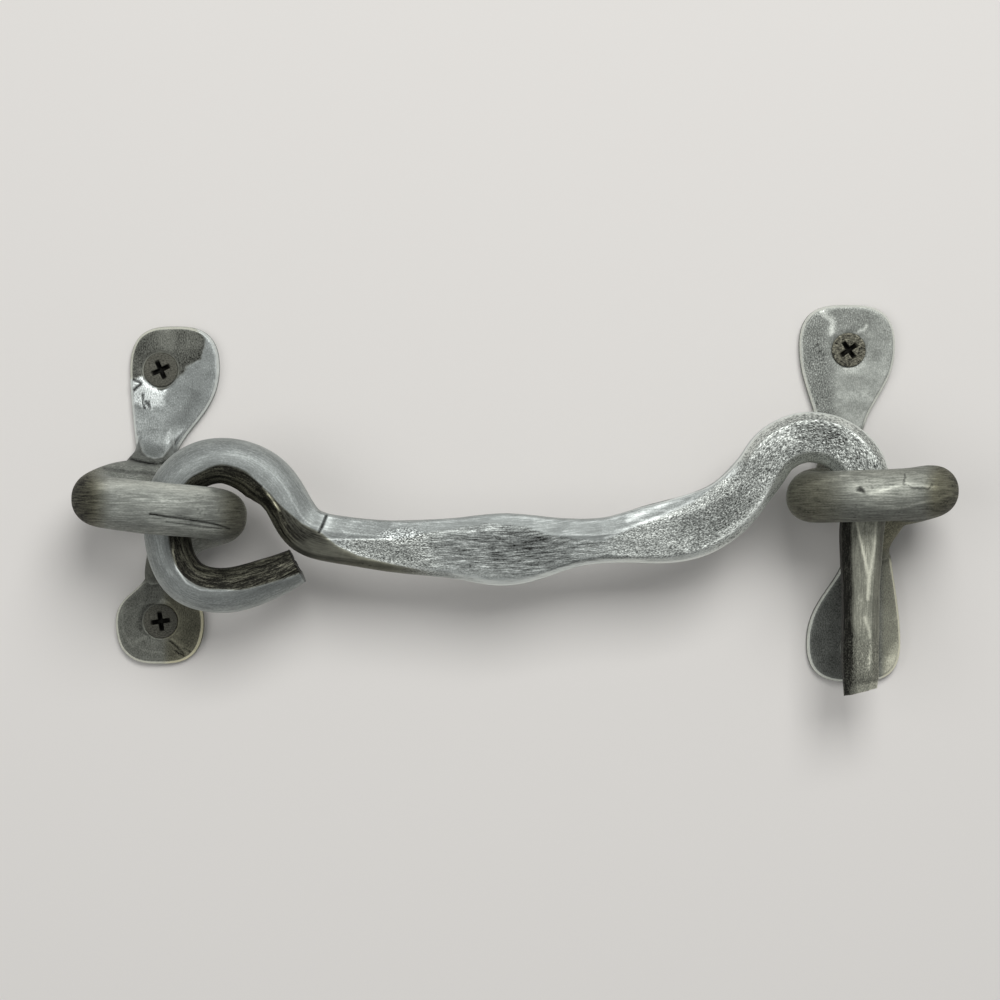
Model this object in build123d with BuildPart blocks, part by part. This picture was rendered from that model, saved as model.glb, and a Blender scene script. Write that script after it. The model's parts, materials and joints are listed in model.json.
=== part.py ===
from build123d import *
from math import cos, radians, sin, tan
import os

# Gate hook latch, forged from round steel bar.
# Two ring staples are screwed to a gate and its post. The hook turns in the left ring and
# drops its pin into the right one.
# The wall is the XZ plane and the latch stands off it towards -Y. +X runs along the hook
# from its eye to its pin, and +Z is up. The origin is on the wall at the middle of the
# left staple, level with the point midway between its two screws.
# All sizes are in millimetres.

# Height of the hook's middle plane, and of both ring centres, above the wall
stand_off = 18.5

# Both rings are round bar, with faint flats left by the hammer
bar_roundness = 0.96

# Left ring, which the hook's eye turns in
left_bar = 10.3
left_hole = 14.4
left_ring_x = 1.9
left_ring_z = -4.0

# Right ring, which the pin drops into
right_bar = 10.2
right_hole = 14.0
right_ring_z = 0.7

# Leaves, hammered flat from the ends of each ring's bar
leaf_thickness = 2.6
leaf_edge = 0.8
leaf_bevel = 0.5
neck_length = 12.0
dish_radius = 4.6
dish_depth = 0.35

# Left staple: places of its necks and leaf heads, sideways from its ring's centre, the rise
# of each head above its screw, and the rim left beyond the screw. Its screws are at X = 0.
left_neck_width = 7.6
left_leaf_root = 11.5
left_upper_neck = -3.0
left_upper_head = 0.9
left_upper_head_rise = 0.6
left_upper_rim = 9.0
left_upper_width = 18.4
left_upper_screw_z = 25.9
left_lower_neck = -0.7
left_lower_head = -2.2
left_lower_head_rise = -0.1
left_lower_rim = 8.8
left_lower_width = 18.2
left_lower_screw_z = -25.9

# Right staple: the same, with its screws too placed sideways from its ring's centre
right_neck_width = 9.4
right_leaf_root = 13.0
right_upper_neck = -3.9
right_upper_head = -2.6
right_upper_head_rise = 1.0
right_upper_rim = 9.3
right_upper_width = 19.8
right_upper_screw_x = -2.4
right_upper_screw_z = 30.0
right_lower_neck = 1.7
right_lower_head = -1.3
right_lower_head_rise = 0.5
right_lower_rim = 7.4
right_lower_width = 19.4
right_lower_screw_x = -0.4
right_lower_screw_z = -31.0

# Countersunk wood screws with a cross recess
screw_length = 25.0
shank_diameter = 3.5
core_diameter = 2.5
screw_hole = 4.0
head_diameter = 7.0
head_angle = 90.0
head_rim = 0.35
seat_clearance = 0.05
neck_swell = 0.15
smooth_shank = 7.5
point_length = 5.0
point_radius = 0.15
cross_width = 4.2
cross_slot = 0.95
cross_depth = 1.8

# Hook: eye
eye_bar = 9.3
eye_clearance = 1.05
eye_opening = 7.3
eye_facet = 2.6

# Hook: bar between the eye and the goose-neck
bar_run = 91.0
bar_drop = 8.8
bar_height = 9.3
swell_height = 14.5
bar_depth = 8.4
swell_depth = 6.6
bar_facet = 1.3
front_bevel = 3.2

# Hook: goose-neck over the right ring
neck_bar = 10.1
neck_depth = 8.2
neck_facet = 2.0
neck_bevel = 1.7
neck_sweep = 155
rest_gap = 0.75

# Hook: drop pin
pin_length = 40.8
pin_width = 9.1
pin_depth = 8.2
pin_end_width = 6.8
pin_lip = 3.4
pin_lean = 1.1

# Places that follow from the sizes above
left_radius = (left_hole + left_bar) / 2
right_radius = (right_hole + right_bar) / 2
pivot = Vector(left_ring_x + left_radius, -stand_off, left_ring_z)
eye_radius = left_bar / 2 + eye_clearance + eye_bar / 2
neck_radius = right_bar / 2 + rest_gap + neck_bar / 2
bar_start = pivot.X + eye_radius + 0.65 * eye_bar
bar_end = bar_start + bar_run
catch = Vector(bar_end - neck_radius * cos(radians(neck_sweep)), -stand_off, right_ring_z)
right_ring_x = catch.X + right_radius
right_upper_screw = (right_ring_x + right_upper_screw_x, right_upper_screw_z)
right_lower_screw = (right_ring_x + right_lower_screw_x, right_lower_screw_z)


def between(first, last, share):
    """Value at a share of the way from the first to the last."""
    return first + share * (last - first)


def around(centre, radius, angle):
    """Point in the hook's plane, at a radius and an angle in degrees from +X."""
    turn = radians(angle)
    return Vector(centre.X + radius * cos(turn), centre.Y, centre.Z + radius * sin(turn))


def hook_section(point, heading, height, depth, bevel, facet):
    """Eight-sided section of the hook, with a wide bevel on its outer front edge."""
    half_height = height / 2
    half_depth = depth / 2
    plane = Plane(origin=point, x_dir=(heading.Z, 0, -heading.X), z_dir=heading)
    with BuildSketch(plane) as section:
        with BuildLine():
            Polyline(
                (bevel - half_height, -half_depth),
                (half_height - facet, -half_depth),
                (half_height, facet - half_depth),
                (half_height, half_depth - facet),
                (half_height - facet, half_depth),
                (facet - half_height, half_depth),
                (-half_height, half_depth - facet),
                (-half_height, facet - half_depth),
                close=True,
            )
        make_face()
    return section.sketch


# Stations along the hook, each a point with its height, depth, bevel and facet
stations = []

# The eye hugs the ring on its left and top, and opens out below and to the right. Each row
# is the angle around the ring's bar, the share of the opening by which the stock stands
# outside the hugging circle, and how much of its full size the stock has.
eye_rows = [
    (-33.0, 1.00, 0.80),
    (-46.0, 0.75, 0.90),
    (-62.0, 0.59, 0.97),
    (-80.0, 0.55, 1.0),
    (-99.0, 0.55, 1.0),
    (-118.0, 0.51, 1.0),
    (-135.0, 0.33, 1.0),
    (-152.0, 0.14, 1.0),
    (-170.0, 0.03, 1.0),
    (-190.0, 0.0, 1.0),
    (-212.0, 0.0, 1.0),
    (-234.0, 0.0, 1.0),
    (-256.0, 0.0, 1.0),
    (-278.0, 0.01, 1.0),
    (-300.0, 0.06, 1.0),
    (-321.0, 0.16, 1.0),
    (-342.0, 0.29, 1.0),
]
for angle, spread, share in eye_rows:
    place = around(pivot, eye_radius + spread * eye_opening, angle)
    stock = share * eye_bar
    stations.append((place, stock, stock, front_bevel, share * eye_facet))

# The bar hangs below the straight line from pivot to catch. Each row is its share of the
# run, of the drop below that line, and of the swelling's height and thinning.
bar_rows = [
    (0.00, 0.31, 0.02, 0.00),
    (0.08, 0.60, 0.05, 0.10),
    (0.20, 0.80, 0.22, 0.35),
    (0.33, 0.91, 0.60, 0.75),
    (0.45, 1.00, 1.00, 1.00),
    (0.53, 0.98, 0.52, 0.70),
    (0.60, 0.93, 0.03, 0.25),
    (0.67, 0.90, 0.00, 0.10),
    (0.74, 0.84, 0.42, 0.50),
    (0.82, 0.75, 0.66, 0.80),
    (0.88, 0.57, 0.62, 0.80),
    (0.93, 0.27, 0.40, 0.55),
    (0.97, -0.15, 0.20, 0.25),
]
for share, drop, swell, thinning in bar_rows:
    level = between(pivot.Z, catch.Z, share) - drop * bar_drop
    place = Vector(between(bar_start, bar_end, share), -stand_off, level)
    height = between(bar_height, swell_height, swell)
    depth = between(bar_depth, swell_depth, thinning)
    stations.append((place, height, depth, front_bevel, bar_facet))

# The goose-neck bends over the left side of the right ring
neck_steps = 7
for step in range(neck_steps):
    angle = neck_sweep * (1 - step / neck_steps)
    place = around(catch, neck_radius, angle)
    stations.append((place, neck_bar, neck_depth, neck_bevel, neck_facet))

# The pin hangs through the right ring and tapers to a chisel-like lip. Each row is its
# share of the pin's length, of the taper, of the lean and of the thinning to the lip.
pin_rows = [
    (0.00, 0.0, 0.2, 0.0),
    (0.15, 0.1, 0.6, 0.0),
    (0.33, 0.45, 0.9, 0.05),
    (0.54, 0.75, 1.0, 0.1),
    (0.78, 0.75, 1.0, 0.3),
    (0.92, 0.85, 1.0, 0.55),
    (1.00, 1.0, 1.0, 1.0),
]
for share, taper, lean, thinning in pin_rows:
    along = catch.X + neck_radius - lean * pin_lean
    place = Vector(along, -stand_off, catch.Z - share * pin_length)
    width = between(pin_width, pin_end_width, taper)
    depth = between(pin_depth, pin_lip, thinning)
    facet = between(neck_facet, 0.4 * pin_lip, thinning)
    stations.append((place, width, depth, neck_bevel, facet))

# Hook: one bar, from the cut end of its eye to the lip of its pin
with BuildPart() as hook:
    with BuildLine(mode=Mode.PRIVATE) as hook_line:
        Spline(*[station[0] for station in stations])
    centre_line = hook_line.edge()
    sections = []
    for place, height, depth, bevel, facet in stations:
        heading = centre_line.tangent_at(centre_line.param_at_point(place))
        sections.append(hook_section(place, heading, height, depth, bevel, facet))
    loft(sections)
hook.part.label = "hook"


def leaf_outline(neck, head, tip, widths, inset, level):
    """Pear-shaped outline at a level above the wall, drawn in by an inset."""
    outward = 1 if tip > neck[1] else -1
    neck_half = widths[0] / 2 - inset
    half = widths[1] / 2 - inset
    end = tip - outward * inset
    lean = 0.5 * (head[0] - neck[0]) / abs(head[1] - neck[1])
    left_cheek = (head[0] - half, head[1])
    right_cheek = (head[0] + half, head[1])
    left_neck = (neck[0] - neck_half, neck[1])
    right_neck = (neck[0] + neck_half, neck[1])
    with BuildSketch(Plane.XZ.offset(level)) as outline:
        with BuildLine():
            Spline(left_neck, left_cheek, tangents=[(lean - 0.2, outward), (0, outward)])
            Spline(
                left_cheek,
                (head[0], end),
                right_cheek,
                tangents=[(0, outward), (1, 0), (0, -outward)],
            )
            Spline(right_cheek, right_neck, tangents=[(0, -outward), (-lean - 0.2, -outward)])
            Line(right_neck, left_neck)
        make_face()
    return outline.sketch


def add_leaf(neck, head, tip, widths, screw, sink):
    """Leaf flat on the wall, with its bevelled rim and countersunk hole.

    The neck, head and screw are points on the wall. The tip is the height of its far end,
    and the widths are those of its neck and head. The sink is how deep the screw's rim
    lies in the leaf."""
    shape = (neck, head, tip, widths)
    extrude(leaf_outline(*shape, 0, 0), amount=leaf_thickness - leaf_edge)
    brow = leaf_outline(*shape, 0, leaf_thickness - leaf_edge)
    loft([brow, leaf_outline(*shape, leaf_bevel, leaf_thickness)])
    front = Plane(origin=(screw[0], -leaf_thickness, screw[1]), z_dir=(0, -1, 0))
    dish = (dish_radius**2 + dish_depth**2) / (2 * dish_depth)
    with Locations(front.offset(dish - dish_depth)):
        Sphere(radius=dish, mode=Mode.SUBTRACT)
    with Locations(front):
        CounterSinkHole(
            radius=screw_hole / 2,
            counter_sink_radius=head_diameter / 2 + seat_clearance + sink,
            counter_sink_angle=head_angle,
        )


# Each row of a neck, from the ring out to the leaf: its shares of the neck's length, of the
# way back to the wall and of the way across to the leaf, and its half sizes in bars.
# The first neck is turned back to the wall sooner, so the leaf's flat runs down onto it.
flat_neck_rows = [
    (0.18, 0.36, 0.60, 0.46, 0.42),
    (0.40, 0.64, 0.90, 0.42, 0.28),
    (0.67, 0.88, 1.00, 0.38, 0.16),
    (0.96, 0.97, 1.00, 0.36, 0.10),
]
round_neck_rows = [
    (0.20, 0.24, 0.50, 0.47, 0.47),
    (0.45, 0.48, 0.82, 0.45, 0.36),
    (0.73, 0.78, 1.00, 0.42, 0.21),
    (1.00, 0.97, 1.00, 0.40, 0.10),
]
# Angles where each ring's bar leaves its upper neck and enters its lower one
ring_from = 122
ring_to = 418
ring_steps = 8


def add_ring(centre, radius, bar, upper_neck, upper_rows, lower_neck, levels):
    """One-turn ring with a neck at each end, which thins towards its leaf.

    The levels give its height at its start, left, front, right and end, in bars."""
    level_angles = [ring_from, 180, 270, 360, ring_to]
    places = []
    for step in range(ring_steps + 1):
        angle = between(ring_from, ring_to, step / ring_steps)
        near = max(i for i in range(4) if level_angles[i] <= angle)
        span = level_angles[near + 1] - level_angles[near]
        share = (angle - level_angles[near]) / span
        outward = Vector(cos(radians(angle)), sin(radians(angle)), 0)
        level = Vector(0, 0, bar * between(levels[near], levels[near + 1], share))
        places.append((centre + outward * radius + level, outward, bar / 2, bar / 2))
    necks = (
        (0, upper_neck, 1, upper_rows),
        (-1, lower_neck, -1, round_neck_rows),
    )
    for end, neck, upward, rows in necks:
        ring_end = places[end][0]
        flank = []
        for beyond, back, across, half_width, half_depth in rows:
            place = Vector(
                between(ring_end.X, neck, across),
                between(ring_end.Y, -leaf_thickness / 2, back),
                ring_end.Z + upward * beyond * neck_length,
            )
            flank.append((place, Vector(0, 1, 0), half_width * bar, half_depth * bar))
        places = flank[::-1] + places if end == 0 else places + flank
    with BuildLine(mode=Mode.PRIVATE) as ring_line:
        Spline(*[place[0] for place in places])
    bar_line = ring_line.edge()
    sections = []
    for place, outward, half_width, half_depth in places:
        heading = bar_line.tangent_at(bar_line.param_at_point(place))
        plane = Plane(origin=place, x_dir=outward.cross(heading), z_dir=heading)
        with BuildSketch(plane) as section:
            corner = bar_roundness * min(half_width, half_depth)
            RectangleRounded(2 * half_width, 2 * half_depth, corner)
        sections.append(section.sketch)
    loft(sections)


# Left staple
left_centre = Vector(left_ring_x, -stand_off, left_ring_z)
left_levels = [0.62, 0.35, 0.15, 0.0, -0.19]
with BuildPart() as left_staple:
    add_leaf(
        neck=(left_ring_x + left_upper_neck, left_ring_z + left_leaf_root),
        head=(left_ring_x + left_upper_head, left_upper_screw_z + left_upper_head_rise),
        tip=left_upper_screw_z + left_upper_rim,
        widths=(left_neck_width, left_upper_width),
        screw=(0, left_upper_screw_z),
        sink=head_rim,
    )
    add_leaf(
        neck=(left_ring_x + left_lower_neck, left_ring_z - left_leaf_root),
        head=(left_ring_x + left_lower_head, left_lower_screw_z + left_lower_head_rise),
        tip=left_lower_screw_z - left_lower_rim,
        widths=(left_neck_width, left_lower_width),
        screw=(0, left_lower_screw_z),
        sink=head_rim,
    )
    add_ring(
        centre=left_centre,
        radius=left_radius,
        bar=left_bar,
        upper_neck=left_ring_x + left_upper_neck,
        upper_rows=flat_neck_rows,
        lower_neck=left_ring_x + left_lower_neck,
        levels=left_levels,
    )
left_staple.part.label = "left_staple"

# Right staple
right_centre = Vector(right_ring_x, -stand_off, right_ring_z)
right_levels = [0.07, -0.11, -0.07, 0.04, -0.22]
with BuildPart() as right_staple:
    add_leaf(
        neck=(right_ring_x + right_upper_neck, right_ring_z + right_leaf_root),
        head=(right_ring_x + right_upper_head, right_upper_screw_z + right_upper_head_rise),
        tip=right_upper_screw_z + right_upper_rim,
        widths=(right_neck_width, right_upper_width),
        screw=right_upper_screw,
        sink=0,
    )
    add_leaf(
        neck=(right_ring_x + right_lower_neck, right_ring_z - right_leaf_root),
        head=(right_ring_x + right_lower_head, right_lower_screw_z + right_lower_head_rise),
        tip=right_lower_screw_z - right_lower_rim,
        widths=(right_neck_width, right_lower_width),
        screw=right_lower_screw,
        sink=head_rim,
    )
    add_ring(
        centre=right_centre,
        radius=right_radius,
        bar=right_bar,
        upper_neck=right_ring_x + right_upper_neck,
        upper_rows=round_neck_rows,
        lower_neck=right_ring_x + right_lower_neck,
        levels=right_levels,
    )
right_staple.part.label = "right_staple"


def make_screw(x, z, sink, turn):
    """Countersunk wood screw driven into the wall at a point, with its cross turned."""
    top = -(leaf_thickness + head_rim - sink)
    head = head_diameter / 2
    shank = shank_diameter / 2
    neck = shank + neck_swell
    core = core_diameter / 2
    cone = (head - neck) / tan(radians(head_angle / 2))
    end = top + screw_length
    with BuildPart() as screw:
        with BuildSketch(Plane(origin=(x, 0, z), x_dir=(1, 0, 0), z_dir=(0, 0, 1))):
            with BuildLine():
                Polyline(
                    (0, top),
                    (head, top),
                    (head, top + head_rim),
                    (neck, top + head_rim + cone),
                    (shank, 0),
                    (shank, smooth_shank),
                    (core, smooth_shank + shank - core),
                    (core, end - point_length),
                    (point_radius, end),
                    (0, end),
                    close=True,
                )
            make_face()
        revolve(axis=Axis((x, 0, z), (0, 1, 0)))
        face = Plane(origin=(x, top, z), x_dir=(1, 0, 0), z_dir=(0, -1, 0))
        for arm in (turn, turn + 90):
            with BuildSketch(face):
                Rectangle(cross_width, cross_slot, rotation=arm)
            with BuildSketch(face.offset(-cross_depth)):
                Rectangle(cross_width - 1.4 * cross_depth, 0.6 * cross_slot, rotation=arm)
            loft(ruled=True, mode=Mode.SUBTRACT)
    return screw.part


# The four screws: name, place on the wall, how deep the rim lies, turn of the cross
screw_rows = [
    ("left_upper_screw", 0, left_upper_screw_z, head_rim, 25),
    ("left_lower_screw", 0, left_lower_screw_z, head_rim, 8),
    ("right_upper_screw", *right_upper_screw, 0, 35),
    ("right_lower_screw", *right_lower_screw, head_rim, 60),
]

os.makedirs("parts", exist_ok=True)
for name, x, z, sink, turn in screw_rows:
    screw = make_screw(x, z, sink, turn)
    screw.label = name
    export_step(screw, f"parts/{name}.step")
export_step(left_staple.part, "parts/left_staple.step")
export_step(right_staple.part, "parts/right_staple.step")
export_step(hook.part, "parts/hook.step")
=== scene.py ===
import bmesh
import bpy
import json
import numpy as np
from itertools import product
from math import pi, radians
from types import SimpleNamespace
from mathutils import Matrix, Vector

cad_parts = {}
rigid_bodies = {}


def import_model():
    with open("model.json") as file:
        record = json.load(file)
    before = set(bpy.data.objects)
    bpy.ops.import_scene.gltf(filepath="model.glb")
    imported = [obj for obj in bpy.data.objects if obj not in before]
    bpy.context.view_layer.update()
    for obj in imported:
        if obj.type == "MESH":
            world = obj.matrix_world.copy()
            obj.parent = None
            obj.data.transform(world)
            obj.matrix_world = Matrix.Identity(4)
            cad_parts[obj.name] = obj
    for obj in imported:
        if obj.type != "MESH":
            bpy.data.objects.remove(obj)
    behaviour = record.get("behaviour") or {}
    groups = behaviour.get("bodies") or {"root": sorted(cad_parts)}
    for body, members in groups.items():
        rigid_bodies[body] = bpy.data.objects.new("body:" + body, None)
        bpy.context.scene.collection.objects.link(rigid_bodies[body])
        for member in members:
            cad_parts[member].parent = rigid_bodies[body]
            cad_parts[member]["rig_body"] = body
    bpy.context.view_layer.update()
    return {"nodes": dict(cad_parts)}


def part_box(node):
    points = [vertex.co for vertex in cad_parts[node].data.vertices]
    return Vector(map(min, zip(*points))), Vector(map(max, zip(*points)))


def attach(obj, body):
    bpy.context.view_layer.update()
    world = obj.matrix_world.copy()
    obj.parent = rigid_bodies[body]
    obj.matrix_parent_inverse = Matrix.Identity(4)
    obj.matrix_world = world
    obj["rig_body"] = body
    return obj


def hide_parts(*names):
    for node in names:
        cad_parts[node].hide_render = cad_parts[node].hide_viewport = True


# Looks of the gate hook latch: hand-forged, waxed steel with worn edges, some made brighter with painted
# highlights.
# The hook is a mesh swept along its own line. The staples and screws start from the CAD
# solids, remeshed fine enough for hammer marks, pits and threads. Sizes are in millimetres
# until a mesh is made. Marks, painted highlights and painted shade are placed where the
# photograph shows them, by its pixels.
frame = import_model()

# Camera in millimetres, and the size of one pixel of the photograph at the wall
CAMERA = (69.9, -520.0, -0.9)
PIXEL = 0.207
SENSOR = 36

# Distance between the points of each mesh
HOOK_GAP = 0.26
STAPLE_GAP = 0.255
SCREW_GAP = 0.12

# Ring centres of the staples, the hook's pivot and the centre of its goose-neck, and the
# place where the hook's eye turns into its bar
STAND_OFF = 18.5
LEFT_RING = (1.9, -4.0)
RIGHT_RING = (144.124, 0.7)
PIVOT = (14.25, -STAND_OFF, -4.0)
CATCH = (132.024, -STAND_OFF, 0.7)
BAR_START = (31.145, -6.7)

# Sizes of the hook, as in its CAD solid. A pair is the first and last of a range.
EYE_RADIUS = 10.85
EYE_OPENING = 7.3
EYE_BAR = 9.3
EYE_FACET = 2.6
BAR_RUN = 91.0
BAR_DROP = 8.8
BAR_HEIGHTS = (9.3, 14.5)
BAR_DEPTHS = (8.4, 6.6)
BAR_FACET = 1.3
FRONT_BEVEL = 3.2
NECK_RADIUS = 10.9
NECK_SWEEP = 155
NECK_STEPS = 7
NECK_SIZES = (10.1, 8.2, 1.7, 2.0)
PIN_LENGTH = 40.8
PIN_LEAN = 1.1
PIN_WIDTHS = (9.1, 6.8)
PIN_DEPTHS = (8.2, 3.4)
PIN_FACETS = (2.0, 1.36)
PIN_BEVEL = 1.7

# Thread of the screws
THREAD_PITCH = 1.4
THREAD_HEIGHT = 0.46

# Large odd numbers that scatter the cells of the noise, for each axis and for the seed
SCATTER = (73856093, 19349663, 83492791, 2654435)
SCATTER_AGAIN = (1103515245, 12820163)
SCATTER_MASK = 0x7FFFFFFF


def picture(points):
    """Where the points show in the photograph, in its pixels from the top left."""
    scale = PIXEL * (points[:, 1] - CAMERA[1]) / -CAMERA[1]
    across = 500 + (points[:, 0] - CAMERA[0]) / scale
    down = 500 - (points[:, 2] - CAMERA[2]) / scale
    return np.stack([across, down], axis=1)


def scattered(cell, seed):
    """Repeatable number from 0 to 1 for each whole-number cell."""
    x, y, z = np.moveaxis(cell, -1, 0)
    mixed = (x * SCATTER[0]) ^ (y * SCATTER[1]) ^ (z * SCATTER[2]) ^ (seed * SCATTER[3])
    mixed = mixed & SCATTER_MASK
    mixed = (((mixed >> 13) ^ mixed) * SCATTER_AGAIN[0]) & SCATTER_MASK
    mixed = (((mixed >> 11) ^ mixed) * SCATTER_AGAIN[1]) & SCATTER_MASK
    return mixed / SCATTER_MASK


def noise(points, grain, seed, detail=1):
    """Smooth noise from -1 to 1. The grain is its size along each axis."""
    total = np.zeros(len(points))
    strength = 1.0
    for octave in range(detail):
        place = points / np.array(grain) * 2**octave
        base = np.floor(place).astype(np.int64)
        part = place - base
        part = part * part * (3 - 2 * part)
        value = np.zeros(len(points))
        for corner in product((0, 1), repeat=3):
            near = np.where(corner, part, 1 - part).prod(axis=1)
            value += near * scattered(base + corner, seed + octave)
        total += strength * (2 * value - 1)
        strength *= 0.5
    return total


def dimples(points, grain, seed):
    """Distance to the nearest of many scattered points, in shares of the grain."""
    place = points / np.array(grain)
    base = np.floor(place).astype(np.int64)
    nearest = np.full(len(points), 9.0)
    for corner in product((-1, 0, 1), repeat=3):
        cell = base + corner
        centre = cell + np.stack([scattered(cell, seed + i) for i in range(3)], axis=1)
        nearest = np.minimum(nearest, ((place - centre) ** 2).sum(axis=1))
    return np.sqrt(nearest)


def wandering(points):
    """Drift that roughens the outline of a mark, about -1 to 1 across and down."""
    return np.stack([noise(points, (1.6, 1.6, 1.6), seed, 3) for seed in (61, 67)], axis=1)


def step(value, low, high):
    """Smooth rise from 0 to 1 between two values."""
    share = np.clip((value - low) / (high - low), 0, 1)
    return share * share * (3 - 2 * share)


def spot(pixels, x, y, wide, high, turn=0.0, soft=0.35):
    """Soft ellipse of the photograph: 1 inside, 0 outside."""
    c, s = np.cos(radians(turn)), np.sin(radians(turn))
    dx, dy = pixels[:, 0] - x, pixels[:, 1] - y
    along, across = dx * c + dy * s, dy * c - dx * s
    return 1 - step(np.hypot(along / wide, across / high), 1 - soft, 1 + soft)


def nearness(pixels, places):
    """Distance in pixels from a line through the places."""
    nearest = np.full(len(pixels), 1e9)
    for a, b in zip(np.array(places[:-1], float), np.array(places[1:], float)):
        share = np.clip((pixels - a) @ (b - a) / ((b - a) @ (b - a)), 0, 1)
        gap = np.linalg.norm(pixels - a - share[:, None] * (b - a), axis=1)
        nearest = np.minimum(nearest, gap)
    return nearest


def line(pixels, places, wide):
    """Soft line of the photograph through the places: 1 on it, 0 beside it."""
    return np.exp(-((nearness(pixels, places) / wide) ** 2))


def patch(pixels, places, soft):
    """Patch of the photograph with the places as its corners: 1 inside, 0 outside."""
    ring = places + places[:1]
    inside = np.zeros(len(pixels), bool)
    x, y = pixels[:, 0], pixels[:, 1]
    for (ax, ay), (bx, by) in zip(ring[:-1], ring[1:]):
        if ay != by:
            inside ^= ((ay > y) != (by > y)) & (x < ax + (y - ay) * (bx - ax) / (by - ay))
    depth = np.where(inside, 1, -1) * nearness(pixels, ring)
    return step(depth, -soft, soft)


def normals(points, faces):
    """Outward direction at each point of a mesh of quads."""
    corners = points[faces]
    face = np.cross(corners[:, 2] - corners[:, 0], corners[:, 3] - corners[:, 1])
    total = np.zeros_like(points)
    for i in range(4):
        np.add.at(total, faces[:, i], face)
    return total / np.maximum(np.linalg.norm(total, axis=1, keepdims=True), 1e-12)


def relaxed(values, faces, times):
    """Values averaged with their neighbours on a mesh of quads."""
    a = faces.ravel()
    b = np.roll(faces, -1, axis=1).ravel()
    count = np.bincount(a, minlength=len(values)) + np.bincount(b, minlength=len(values))
    flat = values.reshape(len(values), -1)
    for _ in range(times):
        total = np.zeros_like(flat)
        for i in range(flat.shape[1]):
            total[:, i] = np.bincount(a, flat[b, i], len(flat))
            total[:, i] += np.bincount(b, flat[a, i], len(flat))
        flat = 0.5 * flat + 0.5 * total / np.maximum(count, 1)[:, None]
    return flat.reshape(values.shape)


def wear(points, outward, faces, spread, full):
    """How much each point stands out of its surroundings, from -1 to 1."""
    away = ((points - relaxed(points, faces, spread)) * outward).sum(axis=1)
    return np.clip(away / full, -1, 1)


def make_piece(node, points, faces, slot_name, tone, lay, finish, warmth):
    """Steel object that stands for a CAD node, with its values for the material."""
    mesh = bpy.data.meshes.new(node + "_steel")
    mesh.from_pydata((points * 0.001).tolist(), [], faces.tolist())
    mesh.validate()
    mesh.polygons.foreach_set("use_smooth", [True] * len(mesh.polygons))
    data = mesh.attributes.new("tone", "FLOAT", "POINT").data
    data.foreach_set("value", np.clip(tone, 0, 1))
    for key, vectors in (("lay", lay), ("finish", finish), ("tint", tinge(warmth))):
        data = mesh.attributes.new(key, "FLOAT_VECTOR", "POINT").data
        data.foreach_set("vector", vectors.ravel())
    piece = bpy.data.objects.new(node + "_steel", mesh)
    bpy.context.scene.collection.objects.link(piece)
    mesh.materials.append(materials[slot_name])
    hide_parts(node)
    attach(piece, frame["nodes"][node]["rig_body"])


def remeshed(node, gap):
    """Points and quads of a CAD node, remeshed evenly."""
    mesh = frame["nodes"][node].data.copy()
    shape = bmesh.new()
    shape.from_mesh(mesh)
    bmesh.ops.remove_doubles(shape, verts=shape.verts, dist=1e-6)
    shape.to_mesh(mesh)
    shape.free()
    holder = bpy.data.objects.new("holder", mesh)
    bpy.context.scene.collection.objects.link(holder)
    modifier = holder.modifiers.new("remesh", "REMESH")
    modifier.mode = "VOXEL"
    modifier.voxel_size = gap * 0.001
    graph = bpy.context.evaluated_depsgraph_get()
    fine = bpy.data.meshes.new_from_object(holder.evaluated_get(graph))
    points = np.zeros(len(fine.vertices) * 3)
    fine.vertices.foreach_get("co", points)
    faces = np.array([list(face.vertices) for face in fine.polygons])
    bpy.data.objects.remove(holder)
    bpy.data.meshes.remove(fine)
    bpy.data.meshes.remove(mesh)
    return points.reshape(-1, 3) * 1000, faces


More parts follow.
